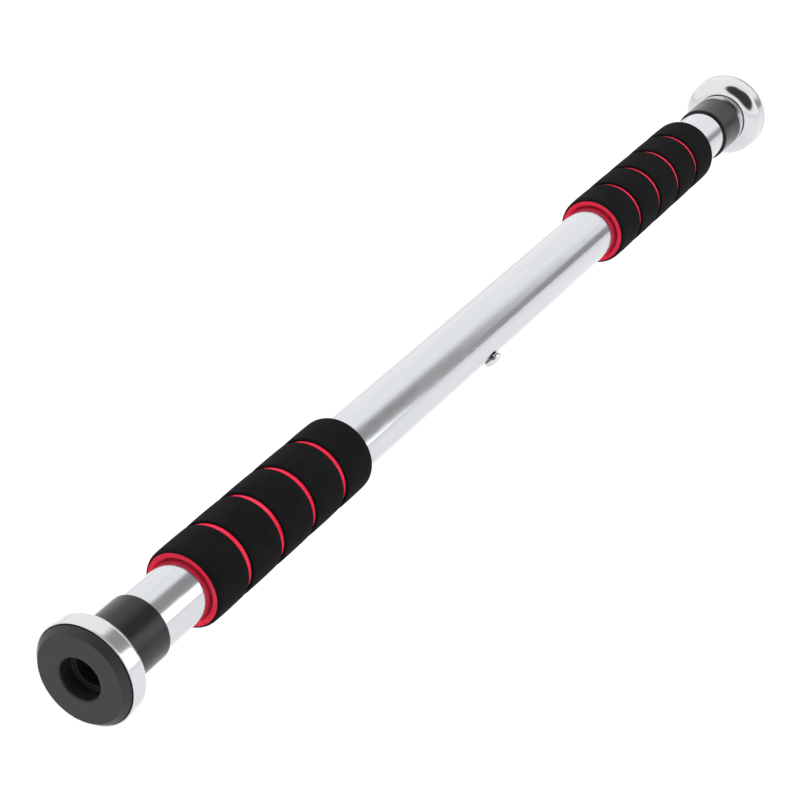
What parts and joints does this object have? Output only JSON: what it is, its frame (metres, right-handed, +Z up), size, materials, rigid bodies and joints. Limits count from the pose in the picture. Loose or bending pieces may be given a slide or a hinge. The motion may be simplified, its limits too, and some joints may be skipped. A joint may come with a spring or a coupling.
{
  "type": "pull up bar",
  "caption": "Doorway pull up bar: plated tube with grooved foam grips, screw-out ends with cupped rubber pads, and a lock screw at the middle.",
  "frame": {"origin": "on the tube's axis, halfway between the two pad faces", "axes": "+X along the bar towards the right-hand end, +Z up, with the lock screw below on the -Y side"},
  "size_m": [0.7394, 0.0532, 0.0532],
  "materials": {
    "plated_tube": "bright plated",
    "chromed_cup": "polished chrome",
    "plain_steel": "machined",
    "shoe_brass": "machined",
    "pad_rubber": "matt moulded",
    "collar_plastic": "semi-gloss moulded",
    "bearing_plastic": "turned",
    "black_foam": "matt fine-pored foam",
    "red_foam": "matt fine-pored foam"
  },
  "bodies": {
    "bar": {"main_tube": "plated_tube", "centre_bush": "bearing_plastic", "lock_washer": "plain_steel", "end_nut_left": "plain_steel", "end_collar_left": "collar_plastic", "grip_core_left": "red_foam", "grip_band_left_1": "black_foam", "grip_band_left_2": "black_foam", "grip_band_left_3": "black_foam", "grip_band_left_4": "black_foam", "grip_band_left_5": "black_foam", "end_nut_right": "plain_steel", "end_collar_right": "collar_plastic", "grip_core_right": "red_foam", "grip_band_right_1": "black_foam", "grip_band_right_2": "black_foam", "grip_band_right_3": "black_foam", "grip_band_right_4": "black_foam", "grip_band_right_5": "black_foam"},
    "lock_rod": {"lock_bar": "plain_steel", "lock_sleeve": "plain_steel", "retaining_ring_left": "plain_steel", "retaining_ring_right": "plain_steel"},
    "left_end": {"spindle_left": "plain_steel", "stop_ring_left": "plain_steel", "key_bush_left": "plain_steel", "cup_left": "chromed_cup", "pad_left": "pad_rubber"},
    "right_end": {"spindle_right": "plain_steel", "stop_ring_right": "plain_steel", "key_bush_right": "plain_steel", "cup_right": "chromed_cup", "pad_right": "pad_rubber"},
    "shoe": {"lock_shoe": "shoe_brass"},
    "screw": {"lock_screw": "chromed_cup"}
  },
  "joints": [
    {"name": "lock_bar_turn", "type": "hinge", "parent": "bar", "child": "lock_rod", "pos_m": [0, 0, 0], "axis": [1, 0, 0], "range_deg": [0, 10800]},
    {"name": "left_end_slide", "type": "slide", "parent": "lock_rod", "child": "left_end", "axis": [-1, 0, 0], "range_m": [0, 0.1201]},
    {"name": "right_end_slide", "type": "slide", "parent": "lock_rod", "child": "right_end", "axis": [1, 0, 0], "range_m": [0, 0.1201]},
    {"name": "lock_shoe_slide", "type": "slide", "parent": "bar", "child": "shoe", "axis": [0, -0.757, -0.6534], "range_m": [0, 0.004]},
    {"name": "lock_screw_turn", "type": "hinge", "parent": "shoe", "child": "screw", "pos_m": [-0.0054, -0.014, -0.01209], "axis": [0, -0.757, -0.6534], "range_deg": [0, 1440.5]}
  ],
  "couplings": [
    {"joint": "left_end_slide", "follows": "lock_bar_turn", "m_per_rad": 0.00063662},
    {"joint": "right_end_slide", "follows": "lock_bar_turn", "m_per_rad": 0.00063662},
    {"joint": "lock_screw_turn", "follows": "lock_shoe_slide", "rad_per_m": 6283.2}
  ]
}
